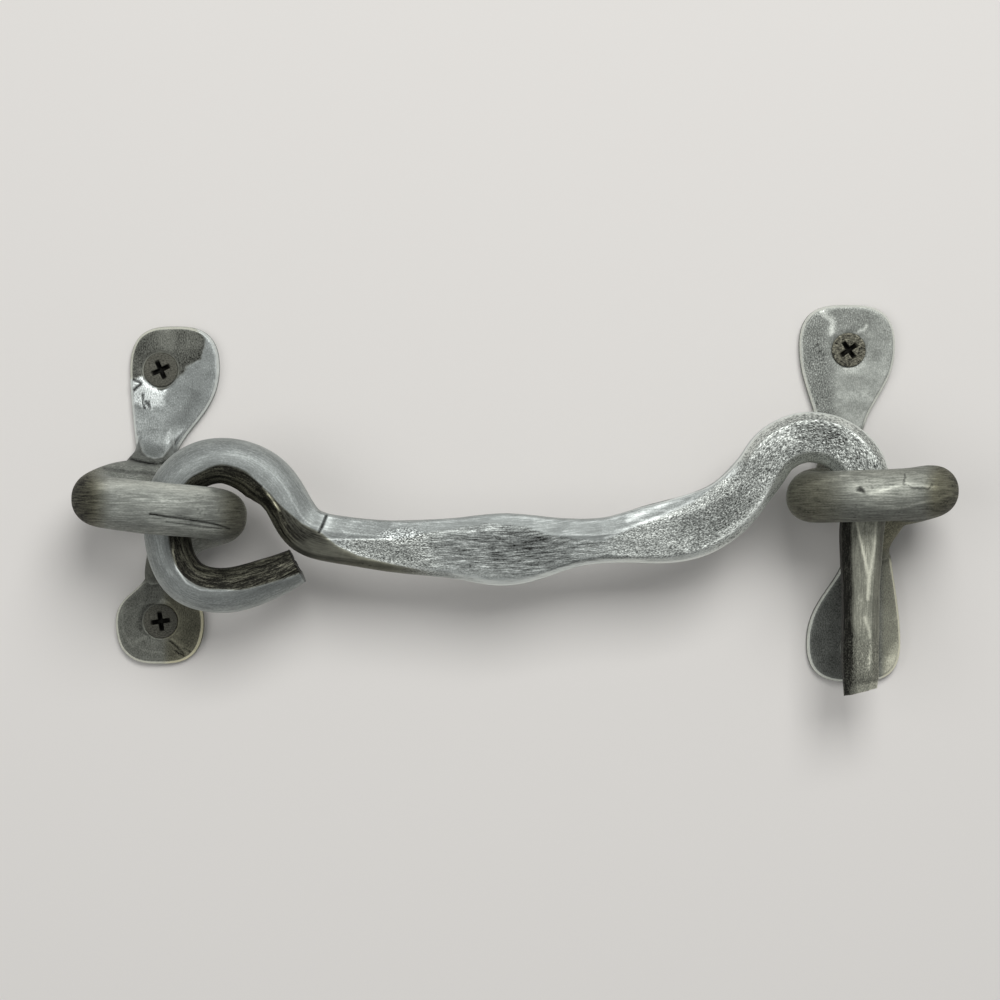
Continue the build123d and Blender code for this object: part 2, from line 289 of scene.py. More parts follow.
# Materials
def steel(name, dark, middle, light, rough, metal):
    """Forged steel. The mesh keeps its tone from dark to light, with the metal's dark and worn places
    and with painted highlights and painted shade, its lay, its finish (speckles, streaks and added
    roughness) and its tint."""
    material = bpy.data.materials.new(name)
    material.use_nodes = True
    nodes = material.node_tree.nodes
    link = material.node_tree.links.new
    shader = nodes["Principled BSDF"]
    shader.inputs["Metallic"].default_value = metal
    kept = {}
    for key in ("tone", "lay", "finish", "tint"):
        kept[key] = nodes.new("ShaderNodeAttribute")
        kept[key].attribute_name = key
    finish = nodes.new("ShaderNodeSeparateXYZ")
    link(kept["finish"].outputs["Vector"], finish.inputs["Vector"])

    def maths(kind, first, second, third=None):
        """Result of one sum, from values or from other nodes."""
        node = nodes.new("ShaderNodeMath")
        node.operation = kind
        for i, value in enumerate((first, second, third)):
            if isinstance(value, (int, float)):
                node.inputs[i].default_value = value
            elif value is not None:
                link(value, node.inputs[i])
        return node.outputs[0]

    def grain(scale, stretch, detail, roughness):
        """Noise along the lay of the metal, stretched in its direction, about zero."""
        place = nodes.new("ShaderNodeMapping")
        place.inputs["Scale"].default_value = stretch
        link(kept["lay"].outputs["Vector"], place.inputs["Vector"])
        cloud = nodes.new("ShaderNodeTexNoise")
        cloud.inputs["Scale"].default_value = scale
        cloud.inputs["Detail"].default_value = detail
        cloud.inputs["Roughness"].default_value = roughness
        link(place.outputs["Vector"], cloud.inputs["Vector"])
        return maths("SUBTRACT", cloud.outputs["Fac"], 0.5)

    # Speckles, streaks and clouds each shift the tone
    specks = maths("MULTIPLY", grain(5.0, (0.55, 1.0, 1.0), 2, 0.5), finish.outputs[0])
    streaks = maths("MULTIPLY", grain(3.6, (0.09, 1.0, 1.0), 3, 0.65), finish.outputs[1])
    clouds = grain(0.30, (1.0, 1.0, 1.0), 4, 0.6)
    level = maths("MULTIPLY_ADD", specks, 2.0, kept["tone"].outputs["Fac"])
    level = maths("MULTIPLY_ADD", streaks, 1.6, level)
    level = maths("MULTIPLY_ADD", clouds, 0.20, level)
    ramp = nodes.new("ShaderNodeValToRGB")
    ramp.color_ramp.elements[0].color = (*dark, 1)
    ramp.color_ramp.elements[1].color = (*light, 1)
    ramp.color_ramp.elements.new(0.5).color = (*middle, 1)
    link(level, ramp.inputs["Fac"])
    tinted = nodes.new("ShaderNodeVectorMath")
    tinted.operation = "MULTIPLY"
    link(ramp.outputs["Color"], tinted.inputs[0])
    link(kept["tint"].outputs["Vector"], tinted.inputs[1])
    link(tinted.outputs["Vector"], shader.inputs["Base Color"])
    shine = nodes.new("ShaderNodeMapRange")
    shine.inputs["To Min"].default_value = rough[0]
    shine.inputs["To Max"].default_value = rough[1]
    link(level, shine.inputs["Value"])
    roughened = maths("ADD", shine.outputs["Result"], finish.outputs[2])
    link(roughened, shader.inputs["Roughness"])
    bump = nodes.new("ShaderNodeBump")
    bump.inputs["Strength"].default_value = 0.35
    bump.inputs["Distance"].default_value = 0.00012
    link(maths("MULTIPLY_ADD", specks, 1.5, streaks), bump.inputs["Height"])
    link(bump.outputs["Normal"], shader.inputs["Normal"])
    return material


materials = {
    "forged_steel": steel(
        "forged_steel",
        dark=(0.010, 0.010, 0.009),
        middle=(0.26, 0.27, 0.265),
        light=(0.84, 0.86, 0.85),
        rough=(0.66, 0.40),
        metal=0.75,
    ),
    "screw_steel": steel(
        "screw_steel",
        dark=(0.006, 0.006, 0.005),
        middle=(0.15, 0.15, 0.14),
        light=(0.50, 0.50, 0.47),
        rough=(0.75, 0.45),
        metal=0.7,
    ),
}
COLD = np.array([0.97, 1.0, 0.98])
WARM = np.array([1.06, 1.0, 0.74])


def tinge(warmth):
    """Tint of each point, from the bluish of bright steel to brown, which goes on old grime and into
    painted shade.
    """
    share = np.clip(warmth, 0, 1)[:, None]
    return COLD + share * (WARM - COLD)


# Eye of the hook, from its cut end: angle round the pivot, how far it opens beyond its
# radius, and its thickness, both in shares
eye_rows = [
    (-33.0, 1.00, 0.80),
    (-46.0, 0.75, 0.90),
    (-62.0, 0.59, 0.97),
    (-80.0, 0.55, 1.0),
    (-99.0, 0.55, 1.0),
    (-118.0, 0.51, 1.0),
    (-135.0, 0.33, 1.0),
    (-152.0, 0.14, 1.0),
    (-170.0, 0.03, 1.0),
    (-190.0, 0.0, 1.0),
    (-212.0, 0.0, 1.0),
    (-234.0, 0.0, 1.0),
    (-256.0, 0.0, 1.0),
    (-278.0, 0.01, 1.0),
    (-300.0, 0.06, 1.0),
    (-321.0, 0.16, 1.0),
    (-342.0, 0.29, 1.0),
]
# Bar of the hook, in shares: way along it, drop, swelling and thinning
bar_rows = [
    (0.00, 0.31, 0.02, 0.00),
    (0.08, 0.60, 0.05, 0.10),
    (0.20, 0.80, 0.22, 0.35),
    (0.33, 0.91, 0.60, 0.75),
    (0.45, 1.00, 1.00, 1.00),
    (0.53, 0.98, 0.52, 0.70),
    (0.60, 0.93, 0.03, 0.25),
    (0.67, 0.90, 0.00, 0.10),
    (0.74, 0.84, 0.42, 0.50),
    (0.82, 0.75, 0.66, 0.80),
    (0.88, 0.57, 0.62, 0.80),
    (0.93, 0.27, 0.40, 0.55),
    (0.97, -0.15, 0.20, 0.25),
]
# Drop pin of the hook, in shares: way down it, taper, lean and thinning
pin_rows = [
    (0.00, 0.0, 0.2, 0.0),
    (0.15, 0.1, 0.6, 0.0),
    (0.33, 0.45, 0.9, 0.05),
    (0.54, 0.75, 1.0, 0.1),
    (0.78, 0.75, 1.0, 0.3),
    (0.92, 0.85, 1.0, 0.55),
    (1.00, 1.0, 1.0, 1.0),
]


def between(first, last, share):
    """Value at a share of the way from the first to the last."""
    return first + share * (last - first)


def hook_rows():
    """X, Z, height, depth, bevel and facet of each station of the hook."""
    rows = []
    for angle, spread, share in eye_rows:
        turn, reach = radians(angle), EYE_RADIUS + spread * EYE_OPENING
        stock = share * EYE_BAR
        x, z = PIVOT[0] + reach * np.cos(turn), PIVOT[2] + reach * np.sin(turn)
        rows.append((x, z, stock, stock, FRONT_BEVEL, share * EYE_FACET))
    for share, drop, swell, thinning in bar_rows:
        z = between(PIVOT[2], CATCH[2], share) - drop * BAR_DROP
        height, depth = between(*BAR_HEIGHTS, swell), between(*BAR_DEPTHS, thinning)
        rows.append((BAR_START[0] + share * BAR_RUN, z, height, depth, FRONT_BEVEL, BAR_FACET))
    for turn in np.radians(NECK_SWEEP * (1 - np.arange(NECK_STEPS) / NECK_STEPS)):
        x, z = CATCH[0] + NECK_RADIUS * np.cos(turn), CATCH[2] + NECK_RADIUS * np.sin(turn)
        rows.append((x, z, *NECK_SIZES))
    for share, taper, lean, thinning in pin_rows:
        x, z = CATCH[0] + NECK_RADIUS - lean * PIN_LEAN, CATCH[2] - share * PIN_LENGTH
        width, depth = between(*PIN_WIDTHS, taper), between(*PIN_DEPTHS, thinning)
        rows.append((x, z, width, depth, PIN_BEVEL, between(*PIN_FACETS, thinning)))
    return np.array(rows)


def smooth_rows(rows, gap):
    """The same rows on a smooth line, a gap apart, with the distance along it first."""
    chords = np.linalg.norm(np.diff(rows[:, :2], axis=0), axis=1)
    knots = np.concatenate([[0], chords.cumsum()])
    spans = np.diff(knots)
    count = len(knots)
    matrix = np.eye(count)
    slopes = np.diff(rows, axis=0) / spans[:, None]
    change = np.zeros_like(rows)
    for i in range(1, count - 1):
        matrix[i, i - 1 : i + 2] = spans[i - 1], 2 * (spans[i - 1] + spans[i]), spans[i]
        change[i] = 6 * (slopes[i] - slopes[i - 1])
    bend = np.linalg.solve(matrix, change)
    along = np.linspace(0, knots[-1], round(knots[-1] / gap))
    i = np.clip(np.searchsorted(knots, along, side="right") - 1, 0, count - 2)
    h, a, b = spans[i, None], (knots[i + 1] - along)[:, None], (along - knots[i])[:, None]
    curve = bend[i] * a**3 / (6 * h) + bend[i + 1] * b**3 / (6 * h)
    curve += (rows[i] / h - bend[i] * h / 6) * a + (rows[i + 1] / h - bend[i + 1] * h / 6) * b
    return along, curve


# Points on each side of the hook's section: front, lower bevel, bottom, lower back bevel,
# back, upper back bevel, top and the wide upper front bevel. Their sum is even, so that a
# cut end closes with quads.
SIDES = (38, 9, 13, 4, 10, 4, 9, 15)
END_STEPS = 9


def section(height, depth, bevel, facet, softening):
    """Points around a section of the hook, downwards and backwards from its middle."""
    h, d = height / 2, depth / 2
    corners = [
        (bevel - h, -d),
        (h - facet, -d),
        (h, facet - d),
        (h, d - facet),
        (h - facet, d),
        (facet - h, d),
        (-h, d - facet),
        (-h, facet - d),
    ]
    points = []
    for i, count in enumerate(SIDES):
        a, b = np.array(corners[i]), np.array(corners[(i + 1) % len(corners)])
        points.extend(a + (b - a) * k / count for k in range(count))
    sharp = np.array(points)
    for _ in range(4):
        sharp = (np.roll(sharp, 1, 0) + 2 * sharp + np.roll(sharp, -1, 0)) / 4
    # Hammered round in the eye: most of the way to a circle
    reach = np.linalg.norm(sharp, axis=1, keepdims=True)
    circle = 0.495 * height / reach
    rounded = sharp * (0.2 + 0.8 * circle)
    return sharp + softening * (rounded - sharp)


def close_end(ring, outer, start):
    """Points and quads that close an end of the hook, in loops that shrink to a short slit."""
    middle = ring.mean(axis=0)
    points, faces = [], []
    for k in range(1, END_STEPS):
        inner = np.arange(len(ring)) + start
        points.append(middle + (ring - middle) * (1 - k / END_STEPS))
        faces.append(np.stack([outer, np.roll(outer, -1), np.roll(inner, -1), inner], axis=-1))
        start += len(ring)
        outer = inner
    half = len(ring) // 2
    left, right = outer[:half], outer[half:][::-1]
    faces.append(np.stack([left[:-1], left[1:], right[1:], right[:-1]], axis=-1))
    return np.concatenate(points), np.concatenate(faces)


def sweep_hook(curve, heading, softening):
    """Points and outward quads of the hook, and the station that each point belongs to."""
    rings = []
    for (x, z, *sizes), (hx, hz), soft in zip(curve, heading, softening):
        loop = section(*sizes, soft)
        across = np.array([hz, 0, -hx])
        rings.append(np.array([x, PIVOT[1], z]) + loop[:, :1] * across + loop[:, 1:] * [0, 1, 0])
    count, around = len(rings), sum(SIDES)
    skin = count * around
    grid = np.arange(skin).reshape(count, around)
    onward = np.roll(grid, -1, axis=1)
    quads = np.stack([onward[:-1], onward[1:], grid[1:], grid[:-1]], axis=-1).reshape(-1, 4)
    first_points, first_faces = close_end(rings[0], grid[0], skin)
    last_points, last_faces = close_end(rings[-1], grid[-1], skin + len(first_points))
    points = np.concatenate([*rings, first_points, last_points])
    faces = np.concatenate([quads, first_faces[:, ::-1], last_faces])
    skin_station = np.repeat(np.arange(count), around)
    end_station = np.repeat([0, count - 1], [len(first_points), len(last_points)])
    station = np.concatenate([skin_station, end_station])
    return points, faces, station


def hook_zones(points, outward, lay, pixels, turn, eye_end, length):
    """Parts of the hook and marks on it, each a value at every point, mostly from 0 to 1."""
    x, y = pixels.T
    run, across = lay[:, 0], lay[:, 1]
    on = SimpleNamespace()
    on.front = step(-outward[:, 1], 0.05, 0.6)
    on.eye = 1 - step(run, eye_end - 6, eye_end + 2)
    on.pin = step(-points[:, 2], 1, 4) * step(points[:, 0], 130, 135)
    on.bar = (1 - on.eye) * (1 - on.pin)
    on.neck = on.bar * step(x, 690, 740)
    on.right = on.bar * step(x, 585, 640)
    left = on.bar * step(x, 325, 345) * (1 - step(x, 415, 450))
    on.cut_end = step(-run, -0.2, 0)
    on.pin_tip = step(run, length - 2.8, length - 1.4)
    # The eye's inner face is left dark and rough, and takes up more of the bar near its cut end
    turns = [18, 45, 70, 90, 120, 180, 225, 270, 300, 327]
    border = np.interp(turn, turns, [1.8, 1.5, 1.2, 1.3, 1.9, 1.4, 0.8, 0.2, -0.7, -1.5])
    beyond = across + 0.4 * noise(lay, (5, 2, 2), 71, 2) - border
    on.inner = on.eye * step(beyond, -0.3, 0.3)
    on.low_loop = on.eye * step(-points[:, 2], 8, 12)
    on.by_inner = on.low_loop * step(beyond, -2.6, -0.2) * (1 - on.inner)
    on.grooves = noise(lay, (12, 0.8, 0.8), 21, 2)
    on.splits = step(noise(lay, (11, 0.6, 0.6), 81, 2), 0.35, 0.8)
    # The upper strip of the bar is smoother, and ends at a ridge
    ridge_line = [(327, 539), (390, 539), (416, 537), (421, 534), (455, 528), (488, 523), (524, 526),
                  (550, 535), (589, 540), (603, 541), (632, 528), (656, 519), (693, 502), (725, 478)]
    level = np.interp(x, *np.array(ridge_line).T)
    on.strip = on.bar * (1 - step(y, level - 1.2, level + 1.2)) * (1 - step(x, 715, 745))
    pebbles = 0.35 * on.bar + 0.55 * on.right + 0.25 * on.neck + 0.6 * left
    on.pebbled = on.front * (1 - 0.75 * on.strip) * np.clip(pebbles, 0, 1.1)
    pits = 1 - step(dimples(lay, (0.85, 0.75, 0.75), 31), 0.12, 0.45)
    pits *= step(noise(lay, (3.0, 2.4, 2.4), 41, 2), -0.3, 0.6)
    on.pits = pits * on.pebbled
    on.crease = line(pixels, [(326.5, 515), (323, 524), (319, 532.5)], 0.8) * on.front
    on.burr = line(pixels, [(264, 487), (270, 495), (279, 511)], 1.4) * on.eye * on.front
    on.slot = line(pixels, [(259, 488), (266, 499), (274, 511)], 1.6) * on.eye * on.front
    return on


def add_highlight_and_shade_zones(on, pixels, facing, share):
    """Adds the zones of painted highlight and painted shade, which depend on how the hammered
    surface faces and on the share of the way across the section, from -0.5 to 0.5."""
    x = pixels[:, 0]
    towards = step(facing, 0.0, 0.2)
    # Masks for painted highlights: the bar's lower bevel and the edges of the section
    on.under = step(share, 0.385, 0.43) * step(x, 440, 470) * on.bar * (1 - on.neck) * towards
    on.rim = step(np.abs(share), 0.455, 0.49) * towards
    # The eye's bar twists into the hook's underside here, and this turned face gets painted shade
    twist = patch(pixels, [(236, 470), (240, 471.5), (257, 481.4), (271, 495.5), (285, 509.6),
                           (302, 523.7), (322, 533.6), (337, 546), (358, 556), (395, 565),
                           (440, 574), (440, 592), (380, 584), (330, 570), (280, 548),
                           (250, 512), (232, 485)], 1.0)
    twist *= (1 - step(x, 385, 440)) * step(x, 232, 242) * (1 - on.low_loop)
    on.twist = twist * step(facing, -0.5, 0.0)


def hook_relief(lay, on):
    """Height of the hook's hammer marks, grooves, pits and creases."""
    height = 0.09 * noise(lay, (9, 6, 6), 3, 2)
    blows = dimples(lay, (8.0, 6.0, 5.0), 11)
    height -= 0.12 * (1 - step(blows, 0.25, 0.8)) * (1 - 0.8 * on.eye)
    height += 0.025 * on.grooves * (1 - on.eye)
    height += on.inner * (0.08 * on.grooves - 0.22 * on.splits - 0.16)
    height -= 0.045 * on.pits
    height += 0.018 * noise(lay, (0.75, 0.65, 0.65), 51, 2) * on.pebbled
    height -= 0.35 * on.crease
    height += 0.15 * on.burr - 0.20 * on.slot
    return height


def eye_tone(pixels, lay, on):
    """Light and dark of the eye: a dark inner face with bright scratches, a painted highlight along its
    border, and painted shade in the crease, in the slot, on the cut end and where the bar turns under.
    """
    x = pixels[:, 0]
    tone = on.inner * (-0.46 - 0.05 * on.low_loop + 0.05 * on.grooves - 0.10 * on.splits)
    tone -= 0.16 * on.by_inner
    scratches = step(noise(lay, (7, 0.35, 0.35), 91, 2), 0.50, 0.95)
    tone += on.inner * (0.08 + 0.22 * on.low_loop) * scratches
    # Painted highlight along the border of the lower loop's dark inner face
    border_line = [(174, 536), (172.6, 552), (176.8, 569), (186.7, 583), (200.8, 590), (220, 591.5),
                   (243, 588.6), (268.5, 581.6), (296.7, 568.9)]
    border_highlight = line(pixels, border_line, 1.2) * on.low_loop * on.front
    tone += border_highlight * np.interp(x, [172, 190, 240, 300], [0.50, 0.26, 0.08, 0.14])
    broken = step(noise(lay, (1.2, 0.6, 0.6), 93, 2), -0.5, 0.2)
    # The burr is bright torn metal; the slot beside it gets painted shade
    tone += 0.60 * on.burr * broken - 0.20 * on.slot
    # Painted highlight on the edge beside the cut end
    tone += 0.40 * line(pixels, [(293, 552), (300, 562), (306, 574)], 1.0) * on.front * on.eye
    # Painted shade on the cut end's face
    tone -= 0.24 * on.cut_end
    # Painted shade in the crease, with a painted highlight on its lip beside it
    tone -= 0.50 * on.crease
    tone += 0.10 * line(pixels, [(331, 516), (326, 530)], 3.0) * on.front
    # Painted shade where the bar turns under
    tone -= np.interp(x, [285, 320, 400], [0.43, 0.35, 0.26]) * on.twist * (1 - on.inner)
    return tone


def bar_tone(pixels, on):
    """Light and dark of the bar: painted highlights on its lower bevel, lips, ridges and right edges, a
    faint one on the upper strip, and painted shade in the middle of the swelling.
    """
    x = pixels[:, 0]
    # Painted highlight on the lower bevel; the pits are darker
    tone = 0.30 * on.under - 0.10 * on.pits
    # Painted highlight along the lower lip
    lip_line = [(300, 522), (322, 533.5), (337, 546), (358, 556), (394, 564.5), (440, 572.5), (471, 576),
                (488, 582), (512, 584.5), (529, 581), (546, 575), (574, 565), (603, 560.5), (645, 562)]
    places = [295, 330, 380, 470, 500, 560, 640, 670]
    strengths = np.interp(x, places, [0.12, 0.2, 0.16, 0.26, 0.34, 0.30, 0.16, 0])
    tone += line(pixels, lip_line, 1.9) * on.front * strengths
    # The upper strip is a little darker, with a faint painted highlight in its middle
    tone += on.strip * (-0.06 + 0.05 * spot(pixels, 500, 522, 90, 20, 0, 0.5))
    front_bar = on.bar * on.front
    # Painted shade in the middle of the swelling
    dark = 0.12 * spot(pixels, 521, 545, 62, 24, 0, 0.6) + 0.12 * spot(pixels, 524, 542, 26, 12, 0, 0.7)
    tone -= front_bar * (1 - on.strip) * (0.02 + dark)
    # Painted highlights along the ridges of the front, left and right
    tone += 0.42 * line(pixels, [(327, 539), (360, 539.5), (392, 539)], 0.9) * front_bar
    tone += 0.20 * line(pixels, [(606, 538), (632, 527), (656, 518), (693, 501)], 1.6) * front_bar
    tone += 0.05 * on.right * on.front * (1 - on.neck)
    # Painted highlight on the edges of the right part
    tone += 0.20 * on.rim * on.right * (1 - on.neck)
    return tone


def neck_tone(pixels, lay, on):
    """Light and dark of the goose-neck: painted highlights on its rims, edges and crown, and painted shade
    on darker stretches.
    """
    x, across = pixels[:, 0], lay[:, 1]
    brim = [(628, 520), (655, 508), (690, 492), (716, 474), (733, 452), (752, 428), (775, 414), (800, 409),
            (826, 414), (848, 426), (866, 444), (874, 460)]
    lower_brim = [(690, 557), (712, 554), (736, 541), (752, 519), (768, 494), (787, 472), (804, 462),
                  (828, 462)]
    # Painted highlights along the upper and lower rims and on the edges of the neck
    tone = 0.24 * line(pixels, brim, 2.6) * on.bar
    tone += 0.32 * line(pixels, lower_brim, 2.2) * on.bar * step(x, 690, 712)
    tone += on.neck * (0.34 * on.rim + 0.24 * step(across, 2.6, 3.6) + 0.16 * step(-across, 3.0, 4.2))
    # Painted highlight on the crown and along the upper left, painted shade on two darker stretches
    light = 0.12 * spot(pixels, 768, 440, 26, 14, -20, 0.6)
    light += 0.08 * line(pixels, [(700, 500), (735, 462), (765, 428)], 7)
    dark = 0.11 * spot(pixels, 712, 518, 34, 22, -30, 0.6) + 0.13 * spot(pixels, 825, 440, 22, 14, 25, 0.6)
    return tone + on.bar * on.front * (light - dark)


def pin_tone(pixels, on):
    """Light and dark of the pin: a painted highlight as a bright wedge that narrows downwards, between
    flanks in painted shade.
    """
    x, y = pixels.T
    # Painted highlights: the wedge, its ridges and a spot low down
    wedge = patch(pixels, [(855.4, 519), (877, 519), (874, 552), (870.6, 574), (868, 599), (866, 576)], 1.2)
    ridge = line(pixels, [(855.4, 519), (869, 576), (868, 599)], 1.5)
    ridge += line(pixels, [(877, 519), (874, 552), (870.6, 574), (868, 599)], 1.5)
    ridge += 0.8 * line(pixels, [(865, 618), (869.5, 632), (870.5, 650), (869, 668)], 1.9)
    front = -0.08 + 0.14 * wedge + 0.30 * np.minimum(ridge, 1)
    front += 0.10 * spot(pixels, 862, 615, 9, 18, 0, 0.6)
    # Painted shade low on the left and on both flanks
    front -= 0.16 * (1 - step(x, 846, 862)) * step(y, 620, 645)
    flanks = 0.56 * (1 - step(x, 845, 859)) + 0.14 * step(x, 876, 882)
    return on.pin * (on.front * front - flanks) + 0.28 * on.pin_tip


def hook_finish(pixels, on):
    """Specks, streaks and added roughness of the hook."""
    sparkle = spot(pixels, 401, 535, 22, 6.5, -4, 0.4) * on.bar * on.front
    specks = on.pebbled * (1 - on.twist) * (1 - 0.8 * on.under) + 0.9 * sparkle
    specks += 0.15 * on.eye * on.front + 0.10 * on.inner
    specks += on.pin * (0.20 + 0.35 * step(pixels[:, 1], 625, 650))
    streaks = 0.22 * on.eye + on.inner * (0.08 + 0.25 * on.low_loop) + 0.30 * on.bar * on.strip
    streaks += on.bar * (1 - on.strip) * (0.15 + 1.0 * spot(pixels, 510, 548, 95, 28, 0, 0.5))
    streaks += 0.35 * on.pin
    rougher = 0.06 * on.eye * (1 - on.inner)
    return np.stack([np.clip(specks, 0, 1.5), np.clip(streaks, 0, 1.3), rougher], axis=1)


def make_hook():
    """Hook, swept along its line and then hammered, pitted and worn."""
    along, curve = smooth_rows(hook_rows(), HOOK_GAP)
    heading = np.gradient(curve[:, :2], axis=0)
    heading /= np.linalg.norm(heading, axis=1, keepdims=True)
    eye_end = along[np.argmin(np.linalg.norm(curve[:, :2] - BAR_START, axis=1))]
    roundness = 1 - step(along, eye_end - 16, eye_end + 2)
    points, faces, station = sweep_hook(curve, heading, roundness)
    outward = normals(points, faces)
    # Lay of the metal: along the hook's line, across it and backwards
    run, length = along[station], along[-1]
    hx, hz = heading[station].T
    across = (points[:, 0] - curve[station, 0]) * hz - (points[:, 2] - curve[station, 1]) * hx
    lay = np.stack([run, across, points[:, 1] - PIVOT[1]], axis=1)
    pixels = picture(points)
    # Angle round the pivot, which stays at 0 where the eye's last stretch runs on into the bar
    turn = np.degrees(np.arctan2(points[:, 2] - PIVOT[2], points[:, 0] - PIVOT[0])) % 360
    turn = np.where((turn > 300) & (run > eye_end - 20), 0, turn)
    on = hook_zones(points, outward, lay, pixels, turn, eye_end, length)
    points = points + outward * hook_relief(lay, on)[:, None]
    # The upper right of the eye is hammered thicker, inwards
    swelled = np.interp(turn, [5, 15, 25, 40, 60, 90], [0, 0.3, 0.9, 1.3, 0.7, 0.0]) * on.eye
    swelled *= np.clip(across / 4.65, 0, 1)
    points[:, 0] += swelled * hz
    points[:, 2] -= swelled * hx
    # The pin's end is cut askew, higher on its right
    askew = step(run, length - 5, length)
    points[:, 2] += 0.24 * askew * np.clip(3.4 - across, 0, 6.8)
    outward = normals(points, faces)
    add_highlight_and_shade_zones(on, pixels, -outward[:, 1], across / curve[station, 2])
    tone = 0.50 + 0.10 * wear(points, outward, faces, 4, 0.035)
    tone += 0.06 * wear(points, outward, faces, 30, 0.16)
    tone += eye_tone(pixels, lay, on) + bar_tone(pixels, on)
    tone += neck_tone(pixels, lay, on) + pin_tone(pixels, on)
    # Brown goes on the eye's inner face, into the painted shade where the bar turns under, on the pin and
    # on part of the pebbled bar
    warmth = 0.9 * on.inner + 0.7 * on.twist + 0.6 * on.pin
    warmth += 0.12 * on.pebbled * step(pixels[:, 0], 330, 360) * (1 - on.strip)
    finish = hook_finish(pixels, on)
    make_piece("hook", points, faces, "forged_steel", tone, lay, finish, warmth)


def paint_left(points, pixels):
    """Marks of the left staple: how flat it is, its marks' height, shade, finish and warmth."""
    x, y = pixels.T
    ragged = pixels + 2.2 * wandering(points)
    leaf = step(points[:, 1], -6, -3.2)
    ring_front = step(-points[:, 1], 22, 30)
    tongue = patch(pixels, [(130, 376), (134.7, 425), (142, 452), (147, 457), (155, 459), (163, 457.5),
                            (169, 450), (190, 421), (207, 395), (222, 370), (222, 320), (125, 315)], 0.8)
    flat = np.maximum(leaf, tongue)
    upper = flat * (1 - step(y, 500, 520))
    lower = step(y, 556, 562) * step(points[:, 1], -14, -11)
    right_side = step(x, 160, 172)
    # Upper leaf: darker dished patch round the screw, with a burr torn up beside it and painted shade in
    # its cracks; a painted highlight on the tongue, with painted shade down its right side
    dished = patch(ragged, [(125, 378), (134, 379), (143.6, 377), (145.8, 379.2), (151.7, 384.3),
                            (156.9, 388.7), (164.2, 388.7), (170.9, 385), (177.5, 378.4), (183.4, 369.6),
                            (190.8, 363.7), (200.4, 357.8), (205, 344), (204, 336), (190, 322),
                            (125, 310)], 1.4)
    paler = spot(pixels, 166, 340, 9, 15, 0, 0.6) + 0.5 * spot(ragged, 190, 342, 14, 10, 0, 0.6)
    torn = patch(ragged, [(132, 379), (143, 377), (151, 386), (166, 391), (163, 406), (150, 410),
                          (133, 404)], 3.2)
    # Painted shade in the cracks along the burr
    notch = line(pixels, [(133.3, 379.5), (141.4, 383.6), (134, 390.2)], 1.1)
    notch += line(ragged, [(143, 394), (144, 409)], 1.1) + line(ragged, [(147, 401), (148, 409)], 1.0)
    notch = np.minimum(notch, 1)
    # Painted highlight on the tongue, and painted shade down its right side
    glow = spot(pixels, 158, 428, 28, 34, 0, 0.7) * tongue
    tongue_shade = line(pixels, [(197, 396), (180, 420)], 7)
    shade = upper * (-0.03 - 0.29 * dished + 0.16 * dished * paler + 0.27 * torn - 0.55 * notch)
    shade += upper * (0.09 * glow - 0.10 * tongue_shade)
    # Lower leaf: painted shade over it, darker on its right, with a dark dish round the screw, a lighter
    # wedge, scratches and light arcs
    dish = spot(ragged, 156, 621, 18.5, 18.5, 0, 0.18) * step(y, 603.5, 605)
    wedge = patch(pixels, [(157, 603), (163, 598), (171, 603.5)], 0.9)
    scratch = line(pixels, [(170, 641), (177, 647), (184, 654)], 0.9)
    scratch += line(pixels, [(175.5, 651), (185, 657)], 1.0) + line(pixels, [(184, 648), (190, 652)], 0.8)
    beside = line(pixels, [(172, 639), (180, 645), (188, 650)], 1.1)
    arcs = line(pixels, [(122, 610), (123, 631), (133, 648)], 0.9)
    arcs += line(pixels, [(141, 649), (152, 652), (164, 653)], 0.9)
    arcs += line(ragged, [(137, 641), (143, 637)], 2.0)
    shade += lower * (-0.22 - 0.06 * right_side - 0.08 * dish + 0.20 * wedge)
    shade += lower * (0.16 * beside + 0.10 * arcs - 0.16 * scratch)
    # Ring: painted shade in the creases along its front, on its ends, beside the tongue and in the folds
    # where it leaves the upper leaf, with a painted sheen along its top and a painted highlight below the
    # creases
    crease = line(pixels, [(150, 514), (168, 517), (190, 520), (214, 524), (230, 529)], 1.0)
    crease += 0.6 * line(pixels, [(166, 522), (196, 526), (222, 529)], 0.8)
    crease += 0.4 * line(pixels, [(176, 515), (205, 521), (226, 522)], 0.7)
    crease *= ring_front
    sheen = line(pixels, [(100, 487), (150, 485), (205, 490)], 6.5) * ring_front
    under = line(pixels, [(150, 521), (190, 526), (222, 531)], 3) * ring_front
    ends = spot(pixels, 68, 505, 30, 60, 0, 0.5) + 0.6 * spot(pixels, 246, 508, 22, 40, 0, 0.6)
    shoulder = (1 - tongue) * spot(pixels, 150, 446, 34, 20, 0, 0.3) * (1 - leaf)
    fold = line(pixels, [(131, 459), (146, 463), (158, 464), (170, 460)], 1.6)
    fold += 0.8 * line(pixels, [(104, 468), (128, 472), (150, 473), (172, 478)], 2.0)
    shade += (1 - flat) * (0.26 * sheen + 0.10 * under - 0.42 * ends - 0.20 * shoulder - 0.28 * fold)
    shade -= 0.42 * crease
    marks = 0.14 * torn - 0.28 * notch - 0.10 * dished - 0.16 * crease
    marks += 0.25 * tongue * step(y, 425, 440) - lower * (0.10 * dish + 0.14 * scratch)
    specks = flat * (0.28 + 0.12 * dished + 0.35 * torn) + (1 - flat) * 0.12
    finish = np.stack([specks, 0.05 * flat + 0.45 * (1 - flat), 0.05 + 0.07 * (1 - flat)], axis=1)
    warmth = 0.40 * upper * dished + lower * (0.4 + 0.6 * right_side)
    warmth += (1 - flat) * np.clip(0.25 + ends, 0, 1)
    return flat, marks, shade, finish, warmth


